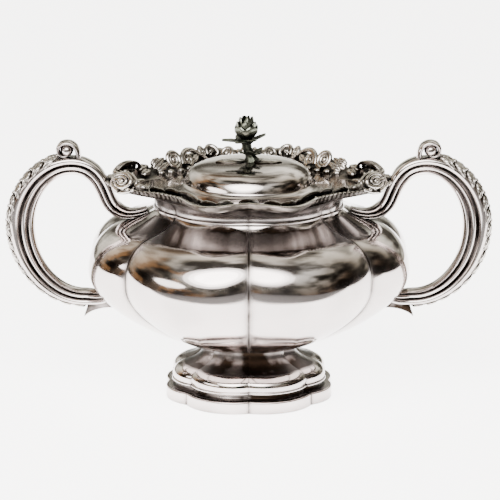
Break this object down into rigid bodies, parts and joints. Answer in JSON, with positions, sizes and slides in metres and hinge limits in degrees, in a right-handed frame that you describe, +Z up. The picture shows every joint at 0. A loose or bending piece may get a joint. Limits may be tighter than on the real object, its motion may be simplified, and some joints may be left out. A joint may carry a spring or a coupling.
{
  "type": "sugar bowl",
  "caption": "Polished silver sugar bowl with a lobed body, shaped cast rim, spreading foot, two scroll handles and a lift-off domed lid with a flower finial.",
  "frame": {"origin": "centre of the foot's rest plane, under the middle of the bowl", "axes": "+Z up out of the bowl, +X towards the right handle, -Y towards the viewer"},
  "size_m": [0.2398, 0.1576, 0.1418],
  "materials": {
    "polished_silver": "mirror polish with fine handling marks",
    "cast_silver": "cast relief, polished on the high points and darkened in the hollows",
    "oxidised_silver": "cast, dark and slightly green with tarnish"
  },
  "bodies": {
    "bowl": {"body_shell": "polished_silver", "neck_collar": "polished_silver", "neck_wire": "polished_silver", "rim_plate": "polished_silver", "rim_shell_left": "cast_silver", "rim_shell_right": "cast_silver", "rim_shell_front": "cast_silver", "rim_shell_back": "cast_silver", "rim_scroll_front_left": "cast_silver", "rim_scroll_front_right": "cast_silver", "rim_scroll_back_left": "cast_silver", "rim_scroll_back_right": "cast_silver", "foot": "polished_silver", "foot_bead": "polished_silver", "foot_plinth": "polished_silver", "handle_left": "polished_silver", "handle_right": "polished_silver", "handle_leaf_left": "cast_silver", "handle_leaf_right": "cast_silver", "handle_curl_left": "polished_silver", "handle_curl_right": "polished_silver", "handle_spur_left": "polished_silver", "handle_spur_right": "polished_silver"},
    "lid": {"lid_cover": "polished_silver", "lid_bezel": "polished_silver", "finial_stem": "oxidised_silver", "finial_base_leaves": "cast_silver", "finial_calyx": "oxidised_silver", "finial_flower": "oxidised_silver", "finial_washer": "polished_silver", "finial_nut": "polished_silver"}
  },
  "joints": [
    {"name": "lid_lift", "type": "slide", "parent": "bowl", "child": "lid", "axis": [0, 0, 1], "range_m": [0, 0.08]}
  ]
}
